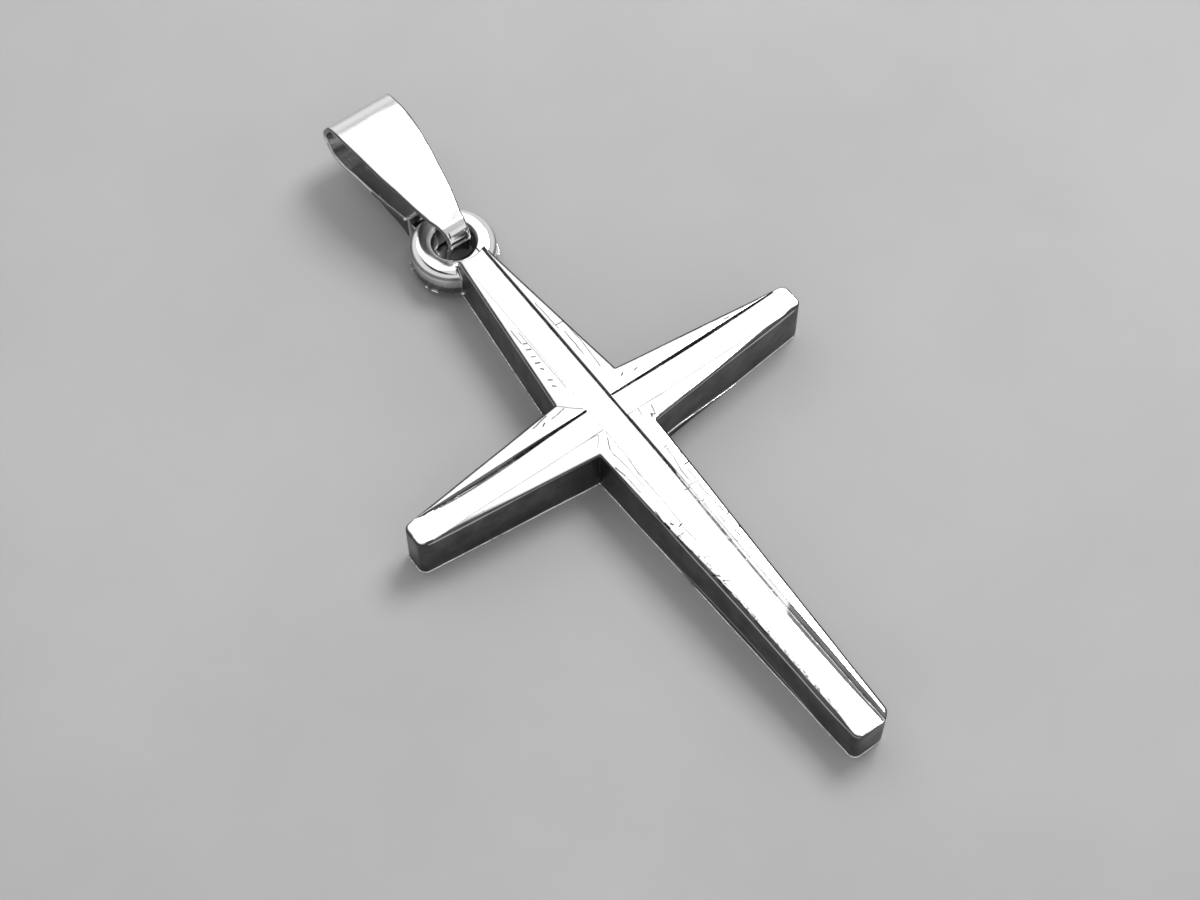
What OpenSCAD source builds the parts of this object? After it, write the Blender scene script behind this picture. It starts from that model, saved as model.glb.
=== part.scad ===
/* A small cross pendant, lying on its back. X runs across the arms, +Y runs
   up towards the ring and the bail, and +Z comes out of the front. The origin
   is where the arms cross, on the flat back. */

/* [Cross] */
// Distance between the tips of the side arms
arm_span = 20; // [17:0.5:26]
// Crossing to the end of the foot
foot_len = 17.7; // [15:0.1:24]
// Crossing to the centre of the ring
head_len = 11.45; // [9:0.05:14]
// Thickness of the cross
cross_t = 2.55; // [2.4:0.05:3.2]
// Half the width of the cross at its two upper inner corners
root_up = 1.6; // [1.4:0.05:2]
// Half the width of the cross at its two lower inner corners
root_low = 1.5; // [1.4:0.05:2]
// Width of a side arm at its tip
tip_w = 1.3; // [1.25:0.05:2]
// Width of the lower arm at its foot
foot_w = 1.7; // [1.5:0.05:2.2]
// Width of the upper arm where it meets the ring
head_w = 1.3; // [1.2:0.05:1.8]
// Corner radius of the tips and the foot, seen from the front
tip_r = 0.35; // [0.2:0.05:0.5]
// Bevel worn along the front edges
front_bevel = 0.12; // [0.05:0.01:0.15]
// Bevel along the back edges
back_bevel = 0.1; // [0.05:0.01:0.15]

/* [Sunk band] */
// Width of the band that runs along every arm
band_w = 1.2; // [0.8:0.05:1.2]
// Depth of the upright band
band_d = 0.2; // [0.1:0.05:0.3]
// Depth of the level band halfway along a side arm
side_dip = 0.3; // [0.15:0.05:0.4]
// Distance from each tip at which the level band runs out
side_run_out = 0.4; // [0.2:0.1:1.5]
// Depth of the upright band at its lowest point in the lower arm
foot_dip = 0.6; // [0.4:0.05:0.8]
// Crossing to that lowest point
foot_dip_y = 12; // [9:0.5:14]

/* [Ring] */
// Outer diameter of the ring
ring_od = 3.85; // [3.6:0.05:4.5]
// Bore of the ring
ring_bore = 1.85; // [1.75:0.05:2.2]
// Height of the ring
ring_h = 1.4; // [1.2:0.05:1.7]
// Radius of the ring's front shoulder
shoulder_r = 0.4; // [0.2:0.05:0.4]
// Radius of the front rim of the bore
rim_r = 0.25; // [0.1:0.05:0.3]

/* [Bail] */
// Length of the bail from its lip to its fold
bail_len = 8.6; // [7.5:0.05:12]
// Width of the bail at its fold
bail_w = 3.28; // [2.6:0.02:4.5]
// Width of the tongue that goes down through the ring and back under it
lip_w = 1; // [0.7:0.05:1.1]
// Thickness of the sheet
sheet = 0.25; // [0.2:0.01:0.35]
// Outer radius of the fold
fold_r = 1.2; // [1:0.05:1.5]
// Height of the fold's underside above the surface
back_lift = 1.3; // [1.2:0.05:1.6]
// Rise of the back wall from there towards the ring
back_rise = 0.3; // [0.1:0.05:0.4]
// Room between the ring's front and the wall over it
over_gap = 1.15; // [0.6:0.01:1.4]
// Rise of the front wall from there to its crown
crown_rise = 0.69; // [0.4:0.01:1]
// Room between the tongue and the underside of the ring
under_gap = 0.15; // [0.1:0.01:0.4]
// Distance of the lip's outermost bend above the ring's front
lip_bend_z = 0.6; // [0.4:0.05:0.8]
// Distance of that bend's corners from the bore wall, seen from the front
lip_gap = 0.05; // [0.02:0.01:0.2]
// Lean of the tongue towards the fold on its way down through the bore
lip_lean = 0.4; // [0.2:0.05:0.5]
// Room between the ring and the soldered heel of the back wall
heel_gap = 0.3; // [0.2:0.05:0.5]
// Width of the tongue's end, which is soldered under the back wall
heel_w = 2.4; // [1.8:0.05:2.6]
// Length of that soldered end
overlap_len = 2.05; // [1.5:0.05:3]

/* [Hidden] */
$fn = 64;
over = 1;
scoop_fn = 360;
corner_steps = 3;
curve_steps = 3;
plan_steps = 3;
bend_steps = 4;
foot_edge_r = 0.12;
// Set-back of the wall over the ring from the lip's outermost bend
lip_back = 0.22;
// Lengths before each bend of the tongue at which it starts to round
low_bend = 0.45;
lip_bend = 0.2;
high_bend = 0.25;

arm_x = arm_span / 2;
ring_r = ring_od / 2;
bore_r = ring_bore / 2;
ring_z = sheet + under_gap;
ring_top = ring_z + ring_h;
flat_r = ring_r - shoulder_r;

lip_x = lip_w / 2;
neck_x = (lip_x + heel_w / 2) / 2;
mid_z = sheet / 2;
lip_y = head_len - sqrt(bore_r * bore_r - lip_x * lip_x) + lip_gap + mid_z;
lip_z = ring_top + lip_bend_z;
over_z = ring_top + over_gap + mid_z;
crown_z = over_z + crown_rise;
fold_y = lip_y - mid_z + bail_len - fold_r;
fold_z = back_lift + fold_r;
heel_y = head_len + ring_r + heel_gap;
bail_y0 = lip_y - mid_z;

function arc(c, r, a0, a1, n) =
    [for (i = [0:n]) let (a = a0 + (a1 - a0) * i / n) c + r * [cos(a), sin(a)]];

// A smooth curve through the points, leaving out the last one
function smooth_step(p, i, t) =
    let (a = p[max(i - 1, 0)], b = p[i], c = p[i + 1], d = p[min(i + 2, len(p) - 1)])
    0.5 * (2 * b + (c - a) * t + (2 * a - 5 * b + 4 * c - d) * t * t
        + (3 * b - a - 3 * c + d) * t * t * t);
function smooth(p, n) =
    [for (i = [0:len(p) - 2]) for (k = [0:n - 1]) smooth_step(p, i, k / n)];

// A rounded bend at v on the way from a to b, which starts the length d before v
function unit(v) = v / norm(v);
function bend(a, v, b, d) =
    let (p = v + d * unit(a - v), q = v + d * unit(b - v))
    [for (i = [0:bend_steps]) let (t = i / bend_steps)
        (1 - t) * (1 - t) * p + 2 * t * (1 - t) * v + t * t * q];

// The side of a strip, at the distance t to the left of its centre line
function side_dir(p, i) =
    let (v = p[min(i + 1, len(p) - 1)] - p[max(i - 1, 0)]) [-v[1], v[0]] / norm(v);
function side(p, t) = [for (i = [0:len(p) - 1]) p[i] + side_dir(p, i) * t];

// Outline of the cross from the front, anticlockwise from the right tip
tip_c = [arm_x - tip_r, tip_w / 2 - tip_r];
foot_c = [foot_w / 2 - tip_r, foot_len - tip_r];
head_end = head_len - bore_r;
outline = concat(
    arc([tip_c[0], -tip_c[1]], tip_r, -90, 0, corner_steps),
    arc(tip_c, tip_r, 0, 90, corner_steps),
    [[root_up, root_up], [head_w / 2, head_end], [-head_w / 2, head_end], [-root_up, root_up]],
    arc([-tip_c[0], tip_c[1]], tip_r, 90, 180, corner_steps),
    arc(-tip_c, tip_r, 180, 270, corner_steps),
    [[-root_low, -root_low]],
    arc(-foot_c, tip_r, 180, 270, corner_steps),
    arc([foot_c[0], -foot_c[1]], tip_r, 270, 360, corner_steps),
    [[root_low, -root_low]]);

// The long straight edges, each from an inner corner outwards, and the ends
rims = concat(
    [for (s = [-1, 1]) [[s * root_up, root_up], [s * tip_c[0], tip_w / 2]]],
    [for (s = [-1, 1]) [[s * root_low, -root_low], [s * tip_c[0], -tip_w / 2]]],
    [for (s = [-1, 1]) [[s * root_up, root_up], [s * head_w / 2, head_end]]],
    [for (s = [-1, 1]) [[s * root_low, -root_low], [s * foot_w / 2, -foot_c[1]]]],
    [for (s = [-1, 1]) [[s * arm_x, -tip_c[1]], [s * arm_x, tip_c[1]]]],
    [[[-foot_c[0], -foot_len], [foot_c[0], -foot_len]]]);

// A bar turned on its edge, which cuts an even bevel along the line from a to b
module edge_bar(a, b, z, bevel) {
    side = bevel * sqrt(2);
    v = b - a;
    translate([a[0], a[1], z])
        rotate([0, 0, atan2(v[1], v[0])])
            rotate([45, 0, 0])
                translate([0, -side / 2, -side / 2])
                    cube([norm(v), side, side]);
}

module bevels() {
    for (rim = rims) {
        edge_bar(rim[0], rim[1], cross_t, front_bevel);
        edge_bar(rim[0], rim[1], 0, back_bevel);
    }
}

// The level band: one long shallow scoop along each side arm
module side_scoop() {
    half = (arm_x - side_run_out) / 2;
    scoop_r = (half * half + side_dip * side_dip) / (2 * side_dip);
    for (side = [-1, 1])
        intersection() {
            translate([side * half - half, -band_w / 2, cross_t - side_dip - over])
                cube([2 * half, band_w, side_dip + 2 * over]);
            translate([side * half, 0, cross_t - side_dip + scoop_r])
                rotate([90, 0, 0])
                    cylinder(h = band_w + over, r = scoop_r, center = true, $fn = scoop_fn);
        }
}

// The upright band: an even channel, which sinks deeper along the lower arm
module upright_channel() {
    translate([-band_w / 2, -foot_len - over, cross_t - band_d])
        cube([band_w, foot_len + head_len + over, band_d + over]);
    reach = foot_dip_y - root_low;
    scoop_r = (reach * reach + foot_dip * foot_dip) / (2 * foot_dip);
    intersection() {
        translate([-band_w / 2, -foot_len - over, cross_t - foot_dip - over])
            cube([band_w, foot_len + over, foot_dip + 2 * over]);
        translate([0, -foot_dip_y, cross_t - foot_dip + scoop_r])
            rotate([0, 90, 0])
                cylinder(h = band_w + over, r = scoop_r, center = true, $fn = scoop_fn);
    }
}

// What a rounded corner at p leaves of its square; d points into the section
module corner_waste(p, r, d) {
    translate(p)
        difference() {
            translate([d[0] > 0 ? -over : -r, d[1] > 0 ? -over : -r])
                square(r + over);
            translate([d[0] * r, d[1] * r]) circle(r);
            translate([d[0] > 0 ? r : -r - over, -r - over]) square([over, 2 * (r + over)]);
        }
}

module ring() {
    rotate_extrude()
        difference() {
            translate([bore_r, ring_z]) square([ring_r - bore_r, ring_h]);
            corner_waste([ring_r, ring_top], shoulder_r, [-1, -1]);
            corner_waste([bore_r, ring_top], rim_r, [1, -1]);
            corner_waste([ring_r, ring_z], foot_edge_r, [-1, 1]);
            corner_waste([bore_r, ring_z], foot_edge_r, [1, 1]);
        }
}

module cross() {
    color("silver") {
        difference() {
            linear_extrude(cross_t) polygon(outline);
            bevels();
            side_scoop();
            upright_channel();
            translate([0, head_len, -over])
                cylinder(h = cross_t + 2 * over, r = flat_r);
        }
        translate([0, head_len, 0]) ring();
    }
}

// Half the width of the bail from its lip to its fold, as shares of its length
// and of the difference between its two widths
bail_flare = [[-0.1, 0.03], [0, 0.03], [0.07, 0.1], [0.11, 0.15], [0.16, 0.26], [0.26, 0.44],
              [0.38, 0.6], [0.47, 0.73], [0.56, 0.83], [0.65, 0.91], [0.75, 0.97],
              [0.86, 0.99], [1, 1], [1.1, 1]];
module bail_plan() {
    half = [for (s = bail_flare)
        [bail_y0 + s[0] * bail_len, lip_x + s[1] * (bail_w / 2 - lip_x)]];
    edge = smooth(half, plan_steps);
    polygon(concat(
        [for (p = edge) [p[1], p[0]]],
        [for (i = [len(edge) - 1:-1:0]) [-edge[i][1], edge[i][0]]]));
}

// Rise of the front wall from over the ring to the fold, as shares of that run
// and of the crown's rise
bail_rise = [[0.1, 0.04], [0.23, 0.35], [0.38, 0.6], [0.5, 0.75], [0.61, 0.88],
             [0.74, 1], [0.87, 0.95]];
// The fold from its top round to its underside, as shares of its radius
bail_fold = [[0, 1], [0.5, 0.77], [0.76, 0.42], [1, -0.05], [0.93, -0.42],
             [0.7, -0.79], [0.42, -0.96], [0.1, -1]];
// Rise of the back wall from the fold to the heel, as shares of that run and
// of its rise
bail_back = [[0.08, 0.12], [0.2, 0.6], [0.34, 0.94], [0.55, 1], [1, 1]];
// Side view of the strip, with Y as the first and Z as the second coordinate:
// under the ring, up through its bore, over it, round the fold and back
module bail_side() {
    heel = [heel_y + sheet, mid_z];
    low = [lip_y + lip_lean, mid_z];
    lip = [lip_y, lip_z];
    high = [lip_y + lip_back, over_z];
    run = fold_y - head_len;
    front = [for (s = bail_rise) [head_len + s[0] * run, over_z + s[1] * crown_rise]];
    fold = [for (s = bail_fold) [fold_y, fold_z] + (fold_r - mid_z) * s];
    back = [for (s = bail_back)
        [fold_y + s[0] * (heel_y - fold_y), back_lift + mid_z + s[1] * back_rise]];
    line = concat(
        [heel], bend(heel, low, lip, low_bend), bend(low, lip, high, lip_bend),
        bend(lip, high, front[0], high_bend), smooth(concat(front, fold, back), curve_steps),
        [back[len(back) - 1]]);
    far = side(line, mid_z);
    near = side(line, -mid_z);
    polygon(concat(far, [for (i = [len(near) - 1:-1:0]) near[i]]));
}

// Underside of the heel from the back wall down to the surface, as shares of
// its length and of the back wall's height
heel_fall = [[1, 1], [1, 0.85], [0.8, 0.5], [0.5, 0.36], [0.3, 0.22], [0.12, 0], [0, 0]];
module bail_heel() {
    wall_z = back_lift + back_rise;
    end_y = heel_y + overlap_len;
    intersection() {
        translate([-heel_w / 2, 0, 0])
            rotate([90, 0, 90]) linear_extrude(heel_w)
                polygon(concat(
                    [[heel_y, wall_z + mid_z], [end_y, wall_z + mid_z]],
                    [for (s = heel_fall) [heel_y + s[0] * overlap_len, s[1] * wall_z]]));
        linear_extrude(back_lift + fold_r)
            polygon([[-neck_x, heel_y - over], [neck_x, heel_y - over], [neck_x, heel_y],
                     [heel_w / 2, end_y - sheet], [heel_w / 2, end_y + over],
                     [-heel_w / 2, end_y + over], [-heel_w / 2, end_y - sheet],
                     [-neck_x, heel_y]]);
    }
}

// Keeps the tongue under the ring as narrow as the lip
module tongue_sides() {
    reach = heel_y - bail_y0 + 2 * sheet;
    for (s = [-1, 1])
        translate([s * bail_w, bail_y0 + reach / 2, 0])
            cube([2 * (bail_w - lip_x), reach + over, 2 * ring_z], center = true);
}

module bail() {
    color("gainsboro") {
        difference() {
            intersection() {
                translate([-bail_w / 2 - over, 0, 0])
                    rotate([90, 0, 90]) linear_extrude(bail_w + 2 * over) bail_side();
                translate([0, 0, -over])
                    linear_extrude(crown_z + fold_r + over) bail_plan();
            }
            tongue_sides();
        }
        bail_heel();
    }
}

cross();
bail();
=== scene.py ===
import math

import bmesh
import bpy
import numpy as np
from mathutils import Matrix, Vector


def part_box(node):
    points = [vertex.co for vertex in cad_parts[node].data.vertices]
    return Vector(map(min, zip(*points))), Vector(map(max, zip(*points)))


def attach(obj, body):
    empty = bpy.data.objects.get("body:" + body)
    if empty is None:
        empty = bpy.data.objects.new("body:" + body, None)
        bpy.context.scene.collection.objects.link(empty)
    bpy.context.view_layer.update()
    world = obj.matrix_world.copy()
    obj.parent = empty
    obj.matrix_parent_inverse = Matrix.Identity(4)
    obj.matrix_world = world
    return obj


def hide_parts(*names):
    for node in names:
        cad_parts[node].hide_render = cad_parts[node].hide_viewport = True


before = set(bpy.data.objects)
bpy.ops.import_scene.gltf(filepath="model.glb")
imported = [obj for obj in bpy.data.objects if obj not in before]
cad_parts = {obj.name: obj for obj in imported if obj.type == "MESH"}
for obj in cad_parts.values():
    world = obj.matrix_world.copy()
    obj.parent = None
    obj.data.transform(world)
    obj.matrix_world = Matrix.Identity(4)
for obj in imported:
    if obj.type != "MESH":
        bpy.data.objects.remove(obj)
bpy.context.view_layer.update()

# A cross pendant lying on its back. Shapes are worked out in millimetres, with
# X across the arms, +Y up towards the ring and the bail and +Z out of the front.

MM = 0.001


def box_mm(node):
    low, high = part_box(node)
    return np.array(low) / MM, np.array(high) / MM


cross_low, cross_high = box_mm("cross")
bail_low, bail_high = box_mm("bail")

# The cross: its ends, its front, the corners at the crossing, the half widths of its
# ends, the radii of its corners and edges, and the slow waves of its casting
ARM_X = cross_high[0]
FOOT_LEN = -cross_low[1]
FRONT_Z = cross_high[2]
ROOT_UP, ROOT_LOW = 1.6, 1.5
TIP_HALF, FOOT_HALF, HEAD_HALF = 0.65, 0.85, 0.65
TIP_R, FOOT_RIGHT_R = 0.35, 0.42
EDGE_R, FAR_EDGE_R, WORN_R, BACK_EDGE_R = 0.13, 0.17, 0.28, 0.03
CAST_WAVE, CAST_WAVE_LEN, CAST_SEED = 0.006, 3.5, 11

# Wear of its near front edges, as the spans over which it sets in and ends: along the
# side arms, along the foot and across the middle line. The foot is also worn lower.
ARM_WEAR, ARM_WEAR_END = (4.5, 8.5), (ARM_X - 0.7, ARM_X - 0.1)
FOOT_WEAR, FOOT_WEAR_END = (5, 9), (FOOT_LEN - 1.5, FOOT_LEN - 0.3)
NEAR_SIDE = (0, 0.4)
FOOT_WORN, WORN_ALONG, WORN_ACROSS = 0.4, (9, FOOT_LEN - 0.3), (-0.2, 0.4)

# The burr, a thin lip along its lower edges. It climbs along the right arm, ends short of
# the foot's far corner, and is rubbed off the ring where the bail passes.
BURR_OUT, BURR_Z, BURR_EDGE_R, BURR_FILLET = 0.1, 0.09, 0.015, 0.015
BURR_RISE, BURR_CLIMB, BURR_FALL = 0.42, (ROOT_LOW, ROOT_LOW + 0.5), (2.2, 6.5)
FAR_CORNER_X, FAR_CORNER_Y = (0, 0.6), (FOOT_LEN - 1.6, FOOT_LEN - 0.8)
BAIL_RUB = (0.7, 1.4)

# The painted highlight streak along the left wall of its lower arm
STREAK_HALF, STREAK_RISE, STREAK_BEND = 0.04, 0.42, 0.7
STREAK_START, STREAK_END = 6.0, 15.5

# Its sunk band
BAND_HALF = 0.6
BAND_DEEP = 0.2
LEFT_DIP, RIGHT_DIP, SIDE_RUN_OUT = 0.33, 0.19, 0.4
LEFT_SKEW = 1.45
FOOT_DIP, FOOT_DIP_Y = 0.6, 12.0
BAND_EDGE_R, BAND_CORNER_R = 0.025, 0.04

# The ring, and how deep the head of the cross goes into it
RING_R, BORE_R = 1.925, 0.925
RING_Y = cross_high[1] - RING_R
RING_LOW, RING_TOP = 0.4, 1.8
SHOULDER_R, RIM_R, RING_FOOT_R, RING_BACK_R = 0.5, 0.25, 0.12, 0.05
RIM_FROM = RING_LOW + 0.7
RING_FILLET = 0.16
HEAD_DEEP, HEAD_EDGE_R = 0.4, 0.08
HEAD_END = RING_Y - BORE_R

# The bail: its sheet, its lip in the ring's bore, its fold and back wall, the knee and the
# small facet over the ring, the bends of its line, and the soldered heel
SHEET = 0.25
LIP_HALF = 0.5
BAIL_HALF = bail_high[0]
LIP_OUT_Y = bail_low[1]
LIP_Y = LIP_OUT_Y + SHEET / 2
BAIL_LEN = bail_high[1] - bail_low[1]
FOLD_R = 1.2
FOLD_Y = bail_high[1] - FOLD_R
BACK_LIFT, BACK_RISE = 1.3, 0.3
OVER_Z = RING_TOP + 1.15 + SHEET / 2
CROWN_RISE = 0.69
LIP_Z = RING_TOP + 0.6
LIP_BACK, LIP_LEAN = 0.22, 0.4
KNEE_DROP, FACET_LEN, FACET_RISE = 0.15, 0.33, 0.13
LOW_BEND, LIP_BEND, KNEE_BEND, CROWN_BEND = 0.45, 0.2, 0.05, 0.08
HEEL_Y = RING_Y + RING_R + 0.3
HEEL_HALF, HEEL_LEN = 1.2, 2.05
TONGUE_END = HEEL_Y + 0.5
SHEET_EDGE_R, HEEL_EDGE_R, SOLDER_FILLET = 0.1, 0.08, 0.06
SHEET_WAVE, SHEET_WAVE_LEN, SHEET_SEED = 0.004, 3, 5


def smooth_share(value, start, end):
    """0 before start, 1 after end, and a smooth rise between them."""
    t = np.clip((value - start) / (end - start), 0, 1)
    return t * t * (3 - 2 * t)


def between(value, rise, fall):
    """Rises smoothly to 1 over the first span, and falls to 0 over the second."""
    return smooth_share(value, *rise) * (1 - smooth_share(value, *fall))


def meet(a, b, r):
    """Intersection of two solids, given as distances, with its edge rounded to r."""
    corner = np.hypot(np.maximum(a + r, 0), np.maximum(b + r, 0))
    return np.minimum(np.maximum(a, b), -r) + corner


def join(a, b, r):
    """Union of two solids, given as distances, with a fillet of radius r."""
    return -meet(-a, -b, r)


def chain_distance(x, y, points, closed):
    """Distance to a line through the points."""
    best = np.full(x.shape, np.inf)
    ends = np.roll(points, -1, axis=0)
    count = len(points) if closed else len(points) - 1
    for (ax, ay), (bx, by) in zip(points[:count], ends[:count]):
        ex, ey = bx - ax, by - ay
        px, py = x - ax, y - ay
        t = np.clip((px * ex + py * ey) / (ex * ex + ey * ey), 0, 1)
        best = np.minimum(best, (px - t * ex) ** 2 + (py - t * ey) ** 2)
    return np.sqrt(best)


def plan_distance(x, y, corners):
    """Signed distance to a closed outline, negative inside it."""
    inside = np.zeros(x.shape, bool)
    for (ax, ay), (bx, by) in zip(corners, np.roll(corners, -1, axis=0)):
        if ay != by:
            inside ^= ((ay > y) != (by > y)) & (x < ax + (y - ay) * (bx - ax) / (by - ay))
    return np.where(inside, -1, 1) * chain_distance(x, y, corners, True)


def arc(cx, cy, r, start, end, steps=10):
    """Points of an arc from one angle to another, in degrees."""
    turns = np.radians(np.linspace(start, end, steps + 1))
    return [(cx + r * math.cos(a), cy + r * math.sin(a)) for a in turns]


def smooth_line(points, steps):
    """A smooth curve through the points."""
    p = np.array([points[0], *points, points[-1]], float)
    out = []
    for a, b, c, d in zip(p, p[1:], p[2:], p[3:]):
        for t in np.arange(steps) / steps:
            out.append(0.5 * (2 * b + (c - a) * t + (2 * a - 5 * b + 4 * c - d) * t ** 2
                              + (3 * b - a - 3 * c + d) * t ** 3))
    return out + [p[-1]]


def turn(before, corner, after, reach, steps=8):
    """A rounded bend at the corner, which starts the length reach before it."""
    before, corner, after = (np.array(v, float) for v in (before, corner, after))
    start = corner + reach * (before - corner) / np.linalg.norm(before - corner)
    end = corner + reach * (after - corner) / np.linalg.norm(after - corner)
    return [(1 - t) ** 2 * start + 2 * t * (1 - t) * corner + t * t * end
            for t in np.linspace(0, 1, steps + 1)]


def waves(p, size, seed):
    """Slow uneven waves over the surface, between about -1 and 1."""
    rng = np.random.default_rng(seed)
    total = np.zeros(len(p))
    for _ in range(6):
        way = rng.normal(size=3)
        way *= rng.uniform(0.7, 1.6) / (size * np.linalg.norm(way))
        total += np.sin(2 * np.pi * (p @ way) + rng.uniform(0, 2 * np.pi))
    return total / 3


# The cross, seen from the front, anticlockwise from its right tip
TIP_X, TIP_Y = ARM_X - TIP_R, TIP_HALF - TIP_R
FOOT_X, FOOT_Y = FOOT_HALF - TIP_R, TIP_R - FOOT_LEN
CROSS_PLAN = np.array(
    arc(TIP_X, -TIP_Y, TIP_R, -90, 0) + arc(TIP_X, TIP_Y, TIP_R, 0, 90)
    + [(ROOT_UP, ROOT_UP), (HEAD_HALF, HEAD_END), (-HEAD_HALF, HEAD_END), (-ROOT_UP, ROOT_UP)]
    + arc(-TIP_X, TIP_Y, TIP_R, 90, 180) + arc(-TIP_X, -TIP_Y, TIP_R, 180, 270)
    + [(-ROOT_LOW, -ROOT_LOW)]
    + arc(-FOOT_X, FOOT_Y, TIP_R, 180, 270)
    + arc(FOOT_HALF - FOOT_RIGHT_R, FOOT_RIGHT_R - FOOT_LEN, FOOT_RIGHT_R, 270, 360)
    + [(ROOT_LOW, -ROOT_LOW)])


def edge_wear(x, y):
    """How far the near front edges are worn down, from 0 to 1."""
    arms = smooth_share(np.abs(x), *ARM_WEAR) * smooth_share(-y, *NEAR_SIDE)
    arms *= 1 - smooth_share(np.abs(x), *ARM_WEAR_END)
    foot = smooth_share(-y, *FOOT_WEAR) * smooth_share(-x, *NEAR_SIDE)
    foot *= 1 - smooth_share(-y, *FOOT_WEAR_END)
    return np.maximum(arms, foot)


def burr_height(x, y):
    """Height of the burr's underside along the arms."""
    climb = between(x, BURR_CLIMB, BURR_FALL)
    return np.where((y < 0) & (y > -ROOT_LOW), BURR_RISE * climb, 0)


def streak_height(y):
    """Height of the painted highlight streak along the left wall of the lower arm."""
    share = np.clip((-y - STREAK_START) / (STREAK_END - STREAK_START), 0, 1)
    return BURR_Z + STREAK_RISE * np.sin(np.pi * share) ** STREAK_BEND


def burr_out(x, y):
    """How far the burr stands out from the arms."""
    return BURR_OUT * (1 - smooth_share(x, *FAR_CORNER_X) * smooth_share(-y, *FAR_CORNER_Y))


def ring_burr_out(y):
    """How far the burr stands out from the ring."""
    return BURR_OUT * (1 - smooth_share(y - RING_Y, *BAIL_RUB))


def burr(wall, z, low, out):
    """A wall with a burr that stands out from it over the height low."""
    lip = meet(wall - out, np.abs(z - low - BURR_Z / 2) - BURR_Z / 2, BURR_EDGE_R)
    return join(wall, lip, BURR_FILLET)


def band_cut(x, y, z):
    """The band sunk into all four arms: a scoop along each side arm, a step along the
    upper arm, and a dip that runs out of the foot."""
    run = np.abs(x) / (ARM_X - SIDE_RUN_OUT)
    run = np.where(x < 0, run ** LEFT_SKEW, run)
    side = np.where(x < 0, LEFT_DIP, RIGHT_DIP) * 4 * run * (1 - run)
    level = meet(np.abs(y) - BAND_HALF, FRONT_Z - side - z, BAND_CORNER_R)
    reach = FOOT_DIP_Y - ROOT_LOW
    foot = FOOT_DIP * (1 - ((y + FOOT_DIP_Y) / reach) ** 2)
    floor = FRONT_Z - np.where(y < -ROOT_LOW, np.maximum(foot, BAND_DEEP), BAND_DEEP)
    upright = meet(np.abs(x) - BAND_HALF, floor - z, BAND_CORNER_R)
    return np.minimum(level, upright)


def cross_surface(p):
    """Signed distance to the cross with its ring, negative inside it."""
    x, y, z = p.T
    plan = plan_distance(x, y, CROSS_PLAN)
    rim = np.where((y > 0) | (x > 0) & (y < -ROOT_LOW), FAR_EDGE_R, EDGE_R)
    rim = rim + (WORN_R - rim) * edge_wear(x, y)
    worn_off = FOOT_WORN * smooth_share(-y, *WORN_ALONG) * smooth_share(-x, *WORN_ACROSS)
    arms = burr(plan, z, burr_height(x, y), burr_out(x, y))
    arms = meet(arms, z - FRONT_Z + worn_off, rim)
    arms = meet(arms, -z, BACK_EDGE_R)
    arms = meet(arms, -band_cut(x, y, z), BAND_EDGE_R)
    out = np.hypot(x, y - RING_Y)
    arms = meet(arms, RING_R - HEAD_DEEP - out, HEAD_EDGE_R)
    ring = burr(out - RING_R, z, RING_LOW, ring_burr_out(y))
    ring = meet(ring, z - RING_TOP, SHOULDER_R)
    ring = meet(ring, RING_LOW - z, RING_BACK_R)
    ring = meet(ring, BORE_R - out, np.where(z > RIM_FROM, RIM_R, RING_FOOT_R))
    return join(arms, ring, RING_FILLET) + CAST_WAVE * waves(p, CAST_WAVE_LEN, CAST_SEED)


# The bail's front wall, fold and back wall from the side, its width along its length, and
# the fall of its heel, each as shares of the length and height that it spans
FRONT_RISE = [(0.1, 0.04), (0.23, 0.35), (0.38, 0.6), (0.5, 0.75), (0.61, 0.88), (0.74, 1),
              (0.87, 0.95)]
FOLD_TURN = [(0, 1), (0.5, 0.77), (0.76, 0.42), (1, -0.05), (0.93, -0.42), (0.7, -0.79),
             (0.42, -0.96), (0.1, -1)]
BACK_RUN = [(0.08, 0.12), (0.2, 0.6), (0.34, 0.94), (0.55, 1), (1, 1)]
FLARE = [(-0.1, 0.03), (0, 0.03), (0.07, 0.1), (0.11, 0.15), (0.16, 0.26), (0.26, 0.44),
         (0.38, 0.6), (0.47, 0.73), (0.56, 0.83), (0.65, 0.91), (0.75, 0.97), (0.86, 0.99),
         (1, 1), (1.1, 1)]
HEEL_FALL = [(1, 1), (1, 0.85), (0.8, 0.5), (0.5, 0.36), (0.3, 0.22), (0.12, 0), (0, 0)]


def bail_line():
    """The bail's sheet from the side, as (y, z): from the heel under the ring, up through
    its bore, over it, round the fold and back to the heel."""
    mid = SHEET / 2
    heel, low = (HEEL_Y + SHEET, mid), (LIP_Y + LIP_LEAN, mid)
    lip, knee = (LIP_Y, LIP_Z), (LIP_Y + LIP_BACK, OVER_Z - KNEE_DROP)
    shoulder = (knee[0] + FACET_LEN, knee[1] + FACET_RISE)
    front = [(RING_Y + a * (FOLD_Y - RING_Y), OVER_Z + b * CROWN_RISE) for a, b in FRONT_RISE]
    fold = [(FOLD_Y + a * (FOLD_R - mid), BACK_LIFT + FOLD_R + b * (FOLD_R - mid))
            for a, b in FOLD_TURN]
    back = [(FOLD_Y + a * (HEEL_Y - FOLD_Y), BACK_LIFT + mid + b * BACK_RISE) for a, b in BACK_RUN]
    return np.array([heel] + turn(heel, low, lip, LOW_BEND) + turn(low, lip, knee, LIP_BEND)
                    + turn(lip, knee, shoulder, KNEE_BEND)
                    + turn(knee, shoulder, front[0], CROWN_BEND)
                    + smooth_line(front + fold + back, 4))


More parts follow.
